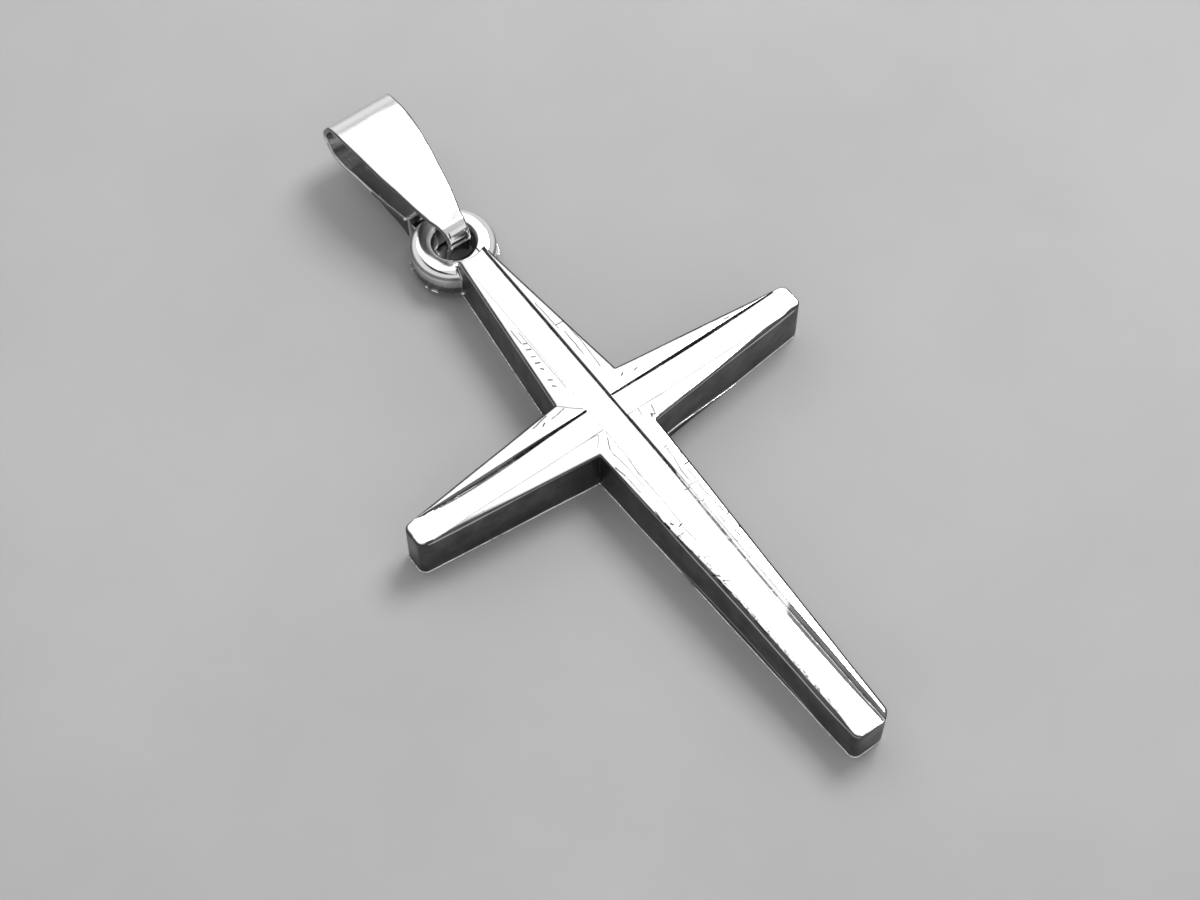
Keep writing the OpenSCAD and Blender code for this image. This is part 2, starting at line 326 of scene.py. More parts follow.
BAIL_LINE = bail_line()
FLARE_LINE = np.array(smooth_line(FLARE, 6))
NECK_HALF = (LIP_HALF + HEEL_HALF) / 2
WALL_Z = BACK_LIFT + BACK_RISE
HEEL_END = HEEL_Y + HEEL_LEN
HEEL_SIDE = np.array([(HEEL_Y, WALL_Z + SHEET / 2), (HEEL_END, WALL_Z + SHEET / 2)]
                     + [(HEEL_Y + a * HEEL_LEN, b * WALL_Z) for a, b in HEEL_FALL])
HEEL_PLAN = np.array([(-NECK_HALF, HEEL_Y - 1), (NECK_HALF, HEEL_Y - 1), (NECK_HALF, HEEL_Y),
                      (HEEL_HALF, HEEL_END - SHEET), (HEEL_HALF, HEEL_END + 1),
                      (-HEEL_HALF, HEEL_END + 1), (-HEEL_HALF, HEEL_END - SHEET),
                      (-NECK_HALF, HEEL_Y)])


def bail_surface(p):
    """Signed distance to the bail, negative inside it."""
    x, y, z = p.T
    strip = chain_distance(y, z, BAIL_LINE, False) - SHEET / 2
    half = np.interp((y - LIP_OUT_Y) / BAIL_LEN, FLARE_LINE[:, 0],
                     LIP_HALF + FLARE_LINE[:, 1] * (BAIL_HALF - LIP_HALF))
    half = np.where((z < RING_LOW) & (y < TONGUE_END), LIP_HALF, half)
    strip = meet(strip, np.abs(x) - half, SHEET_EDGE_R)
    heel = meet(plan_distance(y, z, HEEL_SIDE), plan_distance(x, y, HEEL_PLAN), HEEL_EDGE_R)
    return join(strip, heel, SOLDER_FILLET) + SHEET_WAVE * waves(p, SHEET_WAVE_LEN, SHEET_SEED)


# Which points of a draft are moved out over the burrs, by their height and their
# distance from the wall, how far they go, and how high the fine mesh of a burr is
SPREAD_HIGH, SPREAD_INSIDE, SPREAD_OUTSIDE = 1.6 * BURR_Z, 0.16, 0.05
SPREAD_PAST, CLIMB_START = 1.1, 0.03
THIN_HIGH, THIN_NEAR = 2.2 * BURR_Z, 0.1
RING_ZONE = HEAD_END - 2
LEFT_WALL = -0.7


def cross_spread(p, step=0.01):
    """Moves a draft's lower edges out over the burrs."""
    x, y, z = p.T
    plan = plan_distance(x, y, CROSS_PLAN)
    way = np.stack([plan_distance(x + step, y, CROSS_PLAN) - plan,
                    plan_distance(x, y + step, CROSS_PLAN) - plan, 0 * x], axis=1) / step
    low = (z < SPREAD_HIGH) & (plan > -SPREAD_INSIDE) & (plan < SPREAD_OUTSIDE)
    low &= burr_height(x, y) < CLIMB_START
    spread = p + SPREAD_PAST * (burr_out(x, y) * low)[:, None] * way
    out = np.hypot(x, y - RING_Y)
    ring = (out > RING_R - SPREAD_INSIDE) & (plan > SPREAD_OUTSIDE)
    ring &= (z < RING_LOW + SPREAD_HIGH) & (y > RING_ZONE)
    away = np.stack([x / out, (y - RING_Y) / out, 0 * x], axis=1)
    return np.where(ring[:, None], p + SPREAD_PAST * ring_burr_out(y)[:, None] * away, spread)


def cross_thin(p):
    """The burrs along the lower edges of the arms and the ring, and the painted highlight streak."""
    x, y, z = p.T
    ring = np.hypot(x, y - RING_Y) > RING_R - THIN_NEAR
    ring &= (z > RING_LOW) & (z < RING_LOW + THIN_HIGH)
    streak = (x < LEFT_WALL) & (y < -STREAK_START) & (np.abs(z - streak_height(y)) < THIN_NEAR)
    return (z < burr_height(x, y) + THIN_HIGH) | ring | streak


def unchanged(points):
    """For a draft that needs no spreading."""
    return points


def all_zero(points):
    """For a mesh without thin edges or fuzzy dark blotches, and with one material."""
    return np.zeros(len(points), int)


# Fine meshes in the CAD nodes' places

def slope(p, surface, h=0.004):
    """The surface's value and its gradient at each point."""
    corners = np.array([(1, -1, -1), (-1, -1, 1), (-1, 1, -1), (1, 1, 1)], float)
    values = [surface(p + h * c) for c in corners]
    gradient = sum(v[:, None] * c for v, c in zip(values, corners)) / (4 * h)
    return sum(values) / 4, gradient


def snap(p, surface, steps, longest=0.1, flattest=0.3):
    """Moves each point onto the surface, by no more than longest at a step."""
    for _ in range(steps):
        value, gradient = slope(p, surface)
        move = gradient * (value / np.maximum((gradient ** 2).sum(1), flattest))[:, None]
        length = np.linalg.norm(move, axis=1, keepdims=True)
        p = p - move * np.minimum(1, longest / np.maximum(length, 1e-9))
    return p


def read_points(bm):
    return np.array([v.co for v in bm.verts], float)


def read_edges(bm):
    return np.array([(e.verts[0].index, e.verts[1].index) for e in bm.edges])


def middles(p, edges):
    """The middle of each point's neighbours."""
    a, b = edges.T
    count = np.bincount(a, minlength=len(p)) + np.bincount(b, minlength=len(p))
    return np.stack([np.bincount(a, p[b, k], len(p)) + np.bincount(b, p[a, k], len(p))
                     for k in range(3)], axis=1) / count[:, None]


def relax(p, edges, surface, passes):
    """Spreads the points evenly over the surface."""
    for _ in range(passes):
        p = snap(p + 0.5 * (middles(p, edges) - p), surface, 1)
    return p


def untangle(p, faces, edges, surface, passes, astray=0.03):
    """Smooths the places where a face is turned over or a point is off the surface."""
    for _ in range(passes):
        value, gradient = slope(p, surface)
        a, b, c = p[faces].transpose(1, 0, 2)
        facing = np.cross(b - a, c - a)[:, None] * gradient[faces]
        turned = (facing.sum(axis=2) < 0).all(axis=1)
        near = np.abs(value) > astray
        near[faces[turned]] = True
        if not near.any():
            break
        near[edges[near[edges].any(axis=1)]] = True
        near[edges[near[edges].any(axis=1)]] = True
        p[near] = snap(middles(p, edges)[near], surface, 3)
    return p


def unit(v):
    """The same directions, each of length 1."""
    return v / np.maximum(np.linalg.norm(v, axis=1, keepdims=True), 1e-9)


def fine_mesh(node, surface, voxel, rounds, spread, thin, bend=9, thin_step=0.045):
    """A closed mesh of the surface, finest where it turns by more than bend degrees
    and on its thin edges."""
    # An even draft of the node's own mesh, drawn out to the surface
    source = bpy.data.objects.new("draft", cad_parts[node].data.copy())
    source.data.transform(Matrix.Scale(1 / MM, 4))
    bpy.context.scene.collection.objects.link(source)
    remesh = source.modifiers.new("remesh", "REMESH")
    remesh.mode, remesh.voxel_size = "VOXEL", voxel
    draft = bpy.data.meshes.new_from_object(
        source.evaluated_get(bpy.context.evaluated_depsgraph_get()))
    bpy.data.objects.remove(source)
    bm = bmesh.new()
    bm.from_mesh(draft)
    bmesh.ops.triangulate(bm, faces=bm.faces[:])
    p = relax(snap(spread(read_points(bm)), surface, 2), read_edges(bm), surface, 3)
    # Finer rounds at the bends and the thin edges
    for _ in range(rounds):
        edges = read_edges(bm)
        normals = unit(slope(p, surface)[1])
        sharp = (normals[edges[:, 0]] * normals[edges[:, 1]]).sum(1) < math.cos(math.radians(bend))
        length = np.linalg.norm(p[edges[:, 0]] - p[edges[:, 1]], axis=1)
        sharp |= thin(p)[edges].all(axis=1) & (length > thin_step)
        for v, co in zip(bm.verts, p):
            v.co = co
        bm.edges.ensure_lookup_table()
        bmesh.ops.subdivide_edges(bm, edges=[bm.edges[i] for i in np.flatnonzero(sharp)], cuts=1,
                                  use_grid_fill=True)
        bmesh.ops.triangulate(bm, faces=[f for f in bm.faces if len(f.verts) > 3])
        bm.verts.index_update()
        p = relax(snap(read_points(bm), surface, 1), read_edges(bm), surface, 2)
    # The finished mesh, in metres and with the surface's own normals
    faces = np.array([[v.index for v in f.verts] for f in bm.faces])
    p = untangle(snap(p, surface, 2), faces, read_edges(bm), surface, 8)
    for v, co in zip(bm.verts, p):
        v.co = co
    bmesh.ops.recalc_face_normals(bm, faces=bm.faces[:])
    bm.to_mesh(draft)
    bm.free()
    draft.transform(Matrix.Scale(MM, 4))
    draft.materials.clear()
    for polygon in draft.polygons:
        polygon.use_smooth = True
    normals = unit(slope(p, surface)[1])
    draft.normals_split_custom_set_from_vertices(normals)
    return draft, p, normals


def number_layer(mesh, name, values):
    """Stores a number at each of the mesh's points."""
    layer = mesh.attributes.new(name, "FLOAT", "POINT")
    layer.data.foreach_set("value", np.asarray(values, np.float32))


# Upward shares of a point's normal between which it comes to count as the front
FRONT_FROM = {"cross": (0.6, 0.9), "bail": (0.1, 0.3)}


def dress(node, surface, voxel, rounds, spread, thin, shade_and_tarnish, rim, materials, region):
    """Puts a fine mesh in the node's place, on the node's body."""
    mesh, p, normals = fine_mesh(node, surface, voxel, rounds, spread, thin)
    # Painted shade and tarnish, one number at each point
    number_layer(mesh, "shade_and_tarnish", shade_and_tarnish(p, normals))
    number_layer(mesh, "rim", rim(p))
    number_layer(mesh, "front", smooth_share(normals[:, 2], *FRONT_FROM[node]))
    for material in materials:
        mesh.materials.append(material)
    corners = np.empty(3 * len(mesh.polygons), int)
    mesh.polygons.foreach_get("vertices", corners)
    mesh.polygons.foreach_set("material_index", region(p[corners.reshape(-1, 3)].mean(axis=1)))
    obj = bpy.data.objects.new(node + "_worn", mesh)
    bpy.context.scene.collection.objects.link(obj)
    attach(obj, node)
    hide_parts(node)


# Materials

class Tree:
    """Adds nodes to a material and links them."""

    def __init__(self, name):
        self.material = bpy.data.materials.new(name)
        self.material.use_nodes = True
        self.nodes = self.material.node_tree.nodes
        self.links = self.material.node_tree.links
        self.shader = self.nodes["Principled BSDF"]

    def add(self, kind, inputs=(), **settings):
        node = self.nodes.new("ShaderNode" + kind)
        for key, value in settings.items():
            setattr(node, key, value)
        for key, value in dict(inputs).items():
            self.put(node.inputs[key], value)
        return node

    def put(self, socket, value):
        if isinstance(value, bpy.types.NodeSocket):
            self.links.new(value, socket)
        else:
            socket.default_value = value

    def math(self, operation, a, b=0.0, clamp=False):
        return self.add("Math", {0: a, 1: b}, operation=operation, use_clamp=clamp).outputs[0]

    def vector(self, operation, a, b=(0, 0, 0), output=0):
        return self.add("VectorMath", {0: a, 1: b}, operation=operation).outputs[output]

    def scale(self, vector, amount):
        node = self.add("VectorMath", {0: vector}, operation="SCALE")
        self.put(node.inputs["Scale"], amount)
        return node.outputs[0]

    def noise(self, vector, scale, detail=3.0, rough=0.5):
        node = self.add("TexNoise", {"Scale": scale, "Detail": detail, "Roughness": rough})
        self.links.new(vector, node.inputs["Vector"])
        return node.outputs["Fac"]

    def span(self, value, start, end, low=0.0, high=1.0):
        """Maps start..end to low..high, smoothly and clamped."""
        node = self.add("MapRange", {0: value, 1: start, 2: end, 3: low, 4: high},
                        interpolation_type="SMOOTHSTEP")
        return node.outputs[0]

    def mix(self, share, a, b):
        node = self.add("Mix", data_type="RGBA")
        for key, value in ((0, share), (6, a), (7, b)):
            self.put(node.inputs[key], value)
        return node.outputs[2]


def grey(level):
    return (level, level, level, 1)


# The front mirrors a light far over white, so a mark has to be this much deeper
# than it looks
MARK_DEPTH = 4.0

# A mark fades from its core to its edge, as shares of its width
MARK_EDGE, MARK_CORE = 0.6, 0.15


def stroke(tree, point, start, end, width, strength):
    """The mark of one scratch: strength on its line, and nothing beyond its width."""
    start, end = Vector((*start, 0)), Vector((*end, 0))
    run = end - start
    offset = tree.vector("SUBTRACT", point, start)
    along = tree.vector("DOT_PRODUCT", offset, run / run.length_squared, output="Value")
    nearest = tree.scale(tuple(run), tree.math("ADD", along, 0.0, clamp=True))
    away = tree.vector("DISTANCE", offset, nearest, output="Value")
    return tree.span(away, MARK_EDGE * width, MARK_CORE * width, 0.0, strength)


# Scratches on the front of the cross: start, end, width and strength
CROSS_MARKS = [
    # lower arm, left of the band
    ((-0.62, -0.6), (-0.64, -2.3), 0.05, 0.25), ((-0.64, -2.3), (-0.71, -3.2), 0.05, 0.35),
    ((-0.71, -3.2), (-0.68, -5.0), 0.05, 0.3), ((-0.68, -5.0), (-0.73, -6.0), 0.05, 0.28),
    ((-0.76, -6.25), (-0.7, -7.0), 0.05, 0.4), ((-0.7, -7.0), (-0.72, -8.2), 0.05, 0.3),
    ((-0.72, -8.2), (-0.77, -9.2), 0.05, 0.25), ((-0.77, -9.2), (-0.72, -10.6), 0.05, 0.15),
    ((-0.76, -1.02), (-0.99, -1.5), 0.06, 0.6), ((-0.99, -1.5), (-1.01, -1.9), 0.05, 0.4),
    ((-1.01, -1.9), (-0.92, -2.6), 0.05, 0.25), ((-0.92, -2.6), (-0.93, -3.8), 0.05, 0.12),
    ((-1.32, -2.35), (-1.25, -2.9), 0.07, 0.5), ((-1.25, -2.9), (-1.21, -3.9), 0.06, 0.25),
    ((-1.25, -5.0), (-1.27, -5.5), 0.07, 0.4), ((-1.26, -5.65), (-1.25, -5.95), 0.091, 0.9),
    ((-1.08, -5.8), (-1.03, -5.9), 0.083, 0.7), ((-0.88, -6.12), (-0.72, -6.08), 0.083, 0.85),
    ((-1.18, -6.45), (-0.87, -6.46), 0.07, 0.35), ((-1.24, -6.5), (-1.22, -6.9), 0.083, 0.8),
    ((-1.22, -6.9), (-1.15, -7.4), 0.06, 0.55), ((-1.28, -6.95), (-1.24, -7.8), 0.06, 0.5),
    ((-0.95, -7.84), (-0.76, -7.96), 0.057, 0.75), ((-0.94, -8.28), (-0.9, -8.25), 0.07, 0.5),
    ((-1.15, -8.65), (-1.08, -8.75), 0.083, 0.75), ((-1.08, -8.75), (-0.9, -8.95), 0.06, 0.4),
    ((-0.97, -9.16), (-0.72, -9.3), 0.057, 0.65), ((-1.07, -8.95), (-1.06, -9.2), 0.06, 0.6),
    ((-1.05, -9.3), (-0.99, -9.8), 0.06, 0.5), ((-1.0, -10.1), (-0.97, -10.9), 0.06, 0.45),
    ((-0.98, -11.3), (-0.93, -12.1), 0.06, 0.4), ((-0.12, -4.38), (-0.05, -4.45), 0.07, 0.5),
    # lower arm, right of the band
    ((0.88, -2.77), (1.02, -2.77), 0.07, 0.5), ((0.9, -2.94), (1.0, -2.9), 0.057, 0.65),
    ((0.93, -3.0), (0.9, -3.4), 0.05, 0.35), ((0.9, -3.4), (0.8, -4.1), 0.05, 0.4),
    ((0.8, -4.1), (0.78, -4.7), 0.05, 0.35), ((1.1, -3.93), (1.3, -3.92), 0.07, 0.6),
    ((1.27, -3.45), (1.3, -3.35), 0.06, 0.35), ((0.38, -4.78), (0.5, -4.8), 0.049, 0.7),
    ((0.5, -4.8), (1.05, -4.9), 0.049, 0.65), ((1.05, -4.2), (1.03, -5.0), 0.05, 0.2),
    ((0.96, -5.0), (0.99, -5.9), 0.06, 0.45), ((0.99, -5.9), (1.05, -6.7), 0.06, 0.45),
    ((1.13, -5.1), (1.15, -5.45), 0.06, 0.5), ((1.08, -6.83), (1.15, -6.8), 0.067, 0.7),
    ((0.6, -5.73), (0.68, -5.74), 0.08, 0.6), ((0.68, -5.3), (0.65, -6.1), 0.05, 0.3),
    ((0.76, -6.4), (0.77, -6.9), 0.05, 0.45), ((0.77, -6.9), (0.72, -7.3), 0.05, 0.45),
    ((1.09, -7.6), (1.18, -7.48), 0.075, 0.8), ((1.12, -7.6), (1.18, -7.85), 0.07, 0.6),
    ((0.86, -7.6), (0.88, -8.3), 0.06, 0.55), ((0.87, -8.3), (0.85, -9.0), 0.06, 0.55),
    ((0.57, -7.6), (0.62, -8.1), 0.06, 0.4), ((0.58, -8.2), (0.6, -8.9), 0.06, 0.35),
    # upper arm
    ((-0.93, 5.7), (-0.95, 4.9), 0.05, 0.4), ((-0.9, 4.83), (-0.76, 4.76), 0.057, 0.7),
    ((-0.97, 4.5), (-0.8, 4.42), 0.07, 0.6), ((-1.0, 4.08), (-0.84, 4.02), 0.057, 0.7),
    ((-1.04, 3.74), (-0.87, 3.66), 0.07, 0.6), ((-1.02, 3.4), (-0.95, 3.3), 0.07, 0.6),
    ((-1.1, 2.75), (-0.96, 2.65), 0.07, 0.6), ((-1.12, 2.4), (-1.0, 2.3), 0.07, 0.5),
    ((-0.72, 5.4), (-0.7, 2.0), 0.05, 0.2), ((0.8, 4.78), (1.2, 4.76), 0.049, 0.8),
    ((0.9, 4.3), (0.88, 2.9), 0.05, 0.4), ((1.15, 5.1), (1.2, 3.6), 0.05, 0.4),
    ((1.2, 3.6), (1.1, 2.0), 0.05, 0.35), ((0.72, 6.2), (0.78, 4.6), 0.05, 0.3),
    # side arms and the inner corners
    ((-3.0, 1.2), (-2.2, 1.35), 0.06, 0.45), ((-2.1, 1.1), (-1.4, 1.2), 0.06, 0.4),
    ((-1.6, 1.5), (-0.75, 0.72), 0.05, 0.35), ((-2.6, 1.05), (-2.45, 1.12), 0.07, 0.6),
    ((-2.4, -0.57), (-1.0, -0.65), 0.05, 0.25), ((-0.95, -0.66), (-1.35, -1.15), 0.05, 0.2),
    ((1.13, -0.6), (1.06, -0.95), 0.05, 0.3), ((1.7, -0.8), (1.57, -1.3), 0.06, 0.4),
    ((1.38, -1.28), (1.42, -1.18), 0.1, 0.5), ((1.42, -1.18), (1.56, -1.28), 0.08, 0.5),
    ((1.65, -1.38), (3.4, -1.2), 0.06, 0.4), ((1.2, -0.6), (2.8, -0.68), 0.05, 0.18),
    ((1.55, 1.1), (1.65, 1.15), 0.08, 0.6), ((2.15, 0.98), (2.3, 1.0), 0.07, 0.6),
    ((4.7, 1.12), (6.0, 1.0), 0.06, 0.55), ((6.8, 0.74), (7.0, 0.7), 0.07, 0.6),
    ((7.6, 0.8), (7.85, 0.78), 0.07, 0.6), ((6.3, 0.93), (7.2, 0.85), 0.05, 0.3),
]


# Painted shade in the creases at the foot of the band's steps, as straight dark lines
BAND_CREASE_SHADE = [
    ((0.585, 10.5), (0.585, -4.6), 0.065, 1.0), ((0.585, -4.6), (0.585, -10.8), 0.055, 0.55),
    ((-0.72, 0.565), (-4.4, 0.575), 0.11, 1.0), ((-4.4, 0.575), (-9.2, 0.58), 0.06, 0.7),
    ((0.68, 0.58), (9.3, 0.58), 0.085, 1.0),
]


# Levels of grey, the darkest for painted shade and tarnish, and the roughness of the polish
# with what each fault adds to it
POLISHED, SHADE_AND_TARNISH_GREY, HAIR_GREY, MARK_GREY = 0.93, 0.065, 0.4, 0.004
POLISH_ROUGH, HAIR_ROUGH, SHADE_AND_TARNISH_ROUGH, MARK_ROUGH = (0.07, 0.13), 0.1, 0.22, 0.3

# Noises per mm, each with its detail and roughness: slow clouds, fine grain, hair
# scratches stretched along Y, and fuzzy dirt on the worn edges
CLOUD, GRAIN, HAIR, FUZZ = (0.9, 4.0, 0.6), (9.0, 3.0, 0.6), (3.0, 4.0, 0.6), (2.6, 5.0, 0.75)
HAIR_WAY, FUZZ_WAY = (3.0, 0.4, 3.0), (3.0, 2.2, 1.0)
CLOUD_SPAN, HAIR_SPAN, FUZZ_SPAN = (0.3, 0.7), (0.62, 0.72), (0.6, 0.74)
CLOUD_LEAST, FUZZ_LIFT, FUZZ_SHARE, HAIR_SHARE = 0.93, 0.12, 0.75, 0.12

# How marks are shaken out of line, how they fade in places, and how much the fine
# relief shows
SHAKE_NOISE, SHAKE_DETAIL, SHAKE = 2.2, 2.0, 0.08
BREAKS, BREAK_SPAN, BREAK_LEFT = 4.0, (0.36, 0.5), 0.6
RELIEF, RELIEF_SHARE, RELIEF_DEPTH = 0.12, 0.25, 0.02 * MM


def mark_layer(tree, point, marks, crease_shade):
    """All marks that reach a tile, on shaken lines, and its painted crease shade, on straight ones.
    """
    flat = tree.vector("MULTIPLY", point, (1, 1, 0))
    noise = tree.add("TexNoise", {"Scale": SHAKE_NOISE, "Detail": SHAKE_DETAIL})
    tree.links.new(point, noise.inputs["Vector"])
    shift = tree.vector("SUBTRACT", noise.outputs["Color"], (0.5, 0.5, 0.5))
    shift = tree.vector("MULTIPLY", tree.scale(shift, SHAKE), (1, 1, 0))
    bent = tree.vector("ADD", flat, shift)
    mark = None
    # Scratches lie on shaken lines, the painted crease shade on straight ones
    for line_point, entries in ((bent, marks), (flat, crease_shade)):
        for entry in entries:
            one = stroke(tree, line_point, *entry)
            mark = one if mark is None else tree.math("MAXIMUM", mark, one)
    return mark


def silver(name, marks, crease_shade):
    """Worn polished silver, with painted shade and tarnish, hair scratches and single marks."""
    tree = Tree(name)
    front = tree.add("Attribute", attribute_name="front").outputs["Fac"]
    shade_and_tarnish = tree.add("Attribute", attribute_name="shade_and_tarnish").outputs["Fac"]
    rim = tree.add("Attribute", attribute_name="rim").outputs["Fac"]
    point = tree.scale(tree.add("TexCoord").outputs["Object"], 1 / MM)

    hair = tree.noise(tree.vector("MULTIPLY", point, HAIR_WAY), *HAIR)
    hair = tree.span(hair, *HAIR_SPAN)
    cloud = tree.noise(point, *CLOUD)
    grain = tree.noise(point, *GRAIN)

    # The painted shade and tarnish from the mesh, varied by slow clouds
    shade_and_tarnish = tree.math("MULTIPLY", shade_and_tarnish, tree.span(cloud, *CLOUD_SPAN, CLOUD_LEAST, 1.0),
                        clamp=True)
    rim = tree.math("MULTIPLY", rim, front)
    fuzz = tree.noise(tree.vector("MULTIPLY", point, FUZZ_WAY), *FUZZ)
    fuzz = tree.math("ADD", fuzz, tree.math("MULTIPLY", rim, FUZZ_LIFT))
    fuzz = tree.math("MULTIPLY", tree.span(fuzz, *FUZZ_SPAN), tree.math("MULTIPLY", rim, FUZZ_SHARE))
    shade_and_tarnish = tree.math("MAXIMUM", shade_and_tarnish, fuzz)

    # Painted shade and tarnish darken the polished grey
    colour = tree.mix(shade_and_tarnish, grey(POLISHED), grey(SHADE_AND_TARNISH_GREY))
    colour = tree.mix(tree.math("MULTIPLY", hair, HAIR_SHARE), colour, grey(HAIR_GREY))
    rough = tree.span(cloud, *CLOUD_SPAN, *POLISH_ROUGH)
    rough = tree.math("ADD", rough, tree.math("MULTIPLY", hair, HAIR_ROUGH))
    rough = tree.math("ADD", rough, tree.math("MULTIPLY", shade_and_tarnish, SHADE_AND_TARNISH_ROUGH))
    height = tree.math("ADD", tree.math("MULTIPLY", grain, RELIEF_SHARE),
                       tree.math("MULTIPLY", hair, RELIEF_SHARE))

    mark = mark_layer(tree, point, marks, crease_shade)
    if mark is not None:
        breaks = tree.span(tree.noise(point, BREAKS), *BREAK_SPAN, BREAK_LEFT, 1.0)
        mark = tree.math("MULTIPLY", tree.math("MULTIPLY", mark, front), breaks)
        clean = tree.math("POWER", tree.math("SUBTRACT", 1.0, mark), MARK_DEPTH)
        colour = tree.mix(clean, grey(MARK_GREY), colour)
        rough = tree.math("ADD", rough, tree.math("MULTIPLY", mark, MARK_ROUGH))
        height = tree.math("SUBTRACT", height, mark)

    bump = tree.add("Bump", {"Strength": RELIEF, "Distance": RELIEF_DEPTH})
    tree.links.new(height, bump.inputs["Height"])
    tree.shader.inputs["Metallic"].default_value = 1.0
    tree.put(tree.shader.inputs["Base Color"], colour)
    tree.put(tree.shader.inputs["Roughness"], rough)
    tree.put(tree.shader.inputs["Normal"], bump.outputs[0])
    return tree.material


# Where the surface is painted dark as shade, from 0 to 1. The worn pendant is left clean on
# its front and painted dark on its walls as shade, above all on those that face this level way.
FAR_WAY, FAR_TURN = (0.594, 0.804), 0.1

# Upward shares of the normals between which a wall turns into the front, what the far
# walls add to them, and the painted glint, a lighter line, on the near edges
WALL_UP, FAR_WALL_MORE = (0.8, 0.95), (0.16, 0.043)
GLINT, GLINT_RISE, GLINT_FALL = 0.7, (0.1, 0.2), (0.35, 0.5)

# The burr by its height over its underside, left out of the painted shade, and the share
# of the painted highlight streak
BURR_UNDER, BURR_OVER = (-0.05, 0), (1.5 * BURR_Z, 2.1 * BURR_Z)
STREAK_SHARE = 0.8

# The walls of the band: how near its sides and above which height they are, and the
# sideways share of their normals. The painted shade is left off some of them, which shine:
# the left one, the far one up to the dip at the foot, and a little of the far one on the left arm.
STEP_NEAR, STEP_LOW, STEP_TURN, LEFT_STEP_TURN = 0.04, 1.8, 0.3, 0.2
FAR_STEP_NEAR, FAR_STEP_START, FAR_STEP_SHINE = 0.1, 4, (11.4, 11.6)
LEVEL_STEP_NEAR, LEVEL_STEP_SHINE, LEVEL_STEP_SHARE = 0.06, (3.6, 4.6), 0.12

# The ring apart from the arms, its outside and its burr, by distance from its middle,
# and the painted shade in its bore on the left and on the right
RING_NEAR, HEAD_NEAR, RING_OUTSIDE, RING_BURR = 0.15, 0.2, 0.5, (0.03, 0.06)
BORE_SPLIT, BORE_LEFT, BORE_RIGHT = -0.3, 0.4, 1.0

# Painted reflections down the outside of the ring: a dark line, a light belt and a dark foot
LINE_RISE, LINE_FALL = (RING_TOP - 0.43, RING_TOP - 0.37), (RING_TOP - 0.27, RING_TOP - 0.2)
BELT_FALL, BELT_TOP = (RING_LOW + 0.5, RING_TOP - 0.4), RING_TOP - 0.3
FOOT_FALL = (RING_LOW + 0.48, RING_LOW + 0.54)
LINE_DARK, BELT_DARK, FOOT_DARK = 0.75, 0.3, 0.9

# Fuzzy dark blotches beside the near front edges: their distance from the outline, how far
# down they go, and where they set in and end along the foot and the side arms
FUZZ_NEAR, FUZZ_DOWN = (-0.5, -0.28), 0.7
FOOT_FUZZ, FOOT_FUZZ_END, FOOT_FUZZ_LOSS = (4.5, 7), (15.5, 17), 0.6
ARM_FUZZ, ARM_FUZZ_END, ARM_FUZZ_SHARE = (3, 4.5), (8.6, 9.2), 0.5


def cross_rim(p):
    """How much fuzzy darkening a point has, from 0 to 1."""
    x, y, z = p.T
    close = smooth_share(plan_distance(x, y, CROSS_PLAN), *FUZZ_NEAR) * (z > FRONT_Z - FUZZ_DOWN)
    foot = smooth_share(-y, *FOOT_FUZZ) * (x < 0) * (y < -ROOT_LOW)
    foot *= 1 - FOOT_FUZZ_LOSS * smooth_share(-y, *FOOT_FUZZ_END)
    arms = between(np.abs(x), ARM_FUZZ, ARM_FUZZ_END) * (y < 0) * (y > -ROOT_LOW)
    return close * np.maximum(foot, ARM_FUZZ_SHARE * arms)


def ring_painted_reflection(z):
    """Painted reflections down the outside of the ring."""
    line = LINE_DARK * between(z, LINE_RISE, LINE_FALL)
    belt = BELT_DARK * (1 - smooth_share(z, *BELT_FALL)) * (z < BELT_TOP)
    foot = FOOT_DARK * (1 - smooth_share(z, *FOOT_FALL))
    return np.maximum.reduce([line, foot, belt])


def wall_painted_shade(normals, in_band):
    """Painted shade by the way that a point of the cross faces, less a painted glint on the near
    edges.
    """
    up = normals[:, 2]
    far = normals[:, 0] * FAR_WAY[0] + normals[:, 1] * FAR_WAY[1]
    far = smooth_share(far, 0, FAR_TURN) * ~in_band
    start, end = (u + more * far for u, more in zip(WALL_UP, FAR_WALL_MORE))
    # A painted glint: the painted shade is lifted on part of the near edges' rounding
    glint = GLINT * between(up, GLINT_RISE, GLINT_FALL) * ~in_band * (1 - far)
    return (1 - smooth_share(up, start, end)) * (1 - glint)


def arm_painted_shade(x, y, z, normals, in_band, wall):
    """Painted shade on the arms, left off the burr, the painted highlight streak and the band's
    shining walls.
    """
    over = z - burr_height(x, y)
    clean = between(over, BURR_UNDER, BURR_OVER)
    # The painted highlight streak lifts the painted shade along a line
    streak = 1 - smooth_share(np.abs(z - streak_height(y)), 0.5 * STREAK_HALF, 1.5 * STREAK_HALF)
    streak *= (x < 0) & (y < -STREAK_START) & (y > -STREAK_END)
    far_step = (x > 0) & (x < BAND_HALF + FAR_STEP_NEAR) & (y < -FAR_STEP_START)
    far_step &= normals[:, 0] < -STEP_TURN
    arms = wall * (1 - np.maximum(clean, STREAK_SHARE * streak))
    arms *= np.where(far_step, smooth_share(-y, *FAR_STEP_SHINE), 1)
    arms[in_band & (x < 0) & (normals[:, 0] > LEFT_STEP_TURN)] = 0
    level_step = in_band & (np.abs(y - BAND_HALF) < LEVEL_STEP_NEAR)
    level_step &= normals[:, 1] < -STEP_TURN
    shine = LEVEL_STEP_SHARE * smooth_share(-x, *LEVEL_STEP_SHINE)
    return arms * np.where(level_step, 1 - shine, 1)


